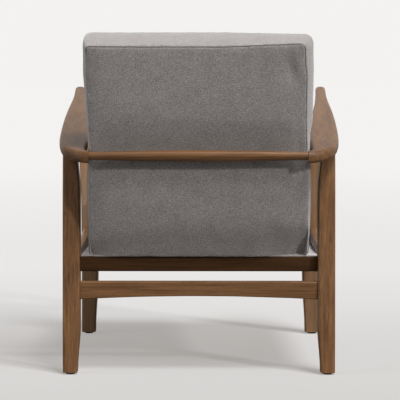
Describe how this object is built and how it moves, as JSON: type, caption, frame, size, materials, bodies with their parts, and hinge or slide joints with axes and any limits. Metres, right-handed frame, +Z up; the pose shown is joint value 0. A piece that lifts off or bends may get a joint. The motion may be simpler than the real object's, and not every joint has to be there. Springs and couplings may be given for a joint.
{
  "type": "button back armchair",
  "caption": "Wooden-framed lounge chair with open sculpted arms, a loose seat cushion on a sagging cloth deck and a leaning buttoned back pad held by a rail between the arms.",
  "frame": {"origin": "on the floor, under the middle of the chair's bounding box", "axes": "+Z up, -Y toward the front (the way the sitter faces), +X toward the sitter's left"},
  "size_m": [0.7158, 0.7498, 0.8478],
  "materials": {
    "walnut": "walnut-stained hardwood with a satin clear coat",
    "upholstery": "grey woven upholstery fabric, matt",
    "deck_cloth": "light grey plain cloth, matt",
    "webbing": "black elastic webbing, matt",
    "plain_wood": "plain unfinished plywood",
    "steel": "zinc-plated",
    "glides": "dark plastic, matt"
  },
  "bodies": {
    "root": {"arm_left": "walnut", "arm_right": "walnut", "back_board": "plain_wood", "back_button_1": "upholstery", "back_button_2": "upholstery", "back_button_3": "upholstery", "back_button_4": "upholstery", "back_button_5": "upholstery", "back_button_6": "upholstery", "back_cross_rail": "walnut", "back_pad": "upholstery", "back_pin_left": "steel", "back_pin_right": "steel", "deck_cloth": "deck_cloth", "front_block_screw_left": "steel", "front_block_screw_right": "steel", "front_corner_block_left": "walnut", "front_corner_block_right": "walnut", "front_glide_left": "glides", "front_glide_right": "glides", "front_leg_left": "walnut", "front_leg_right": "walnut", "front_seat_rail": "walnut", "rear_block_screw_left": "steel", "rear_block_screw_right": "steel", "rear_corner_block_left": "walnut", "rear_corner_block_right": "walnut", "rear_glide_left": "glides", "rear_glide_right": "glides", "rear_leg_left": "walnut", "rear_leg_right": "walnut", "rear_seat_rail": "walnut", "rear_stretcher": "walnut", "seat_cushion": "upholstery", "seat_strap_1": "webbing", "seat_strap_2": "webbing", "seat_strap_3": "webbing", "seat_strap_4": "webbing", "seat_strap_5": "webbing", "side_seat_rail_left": "walnut", "side_seat_rail_right": "walnut"}
  },
  "joints": []
}
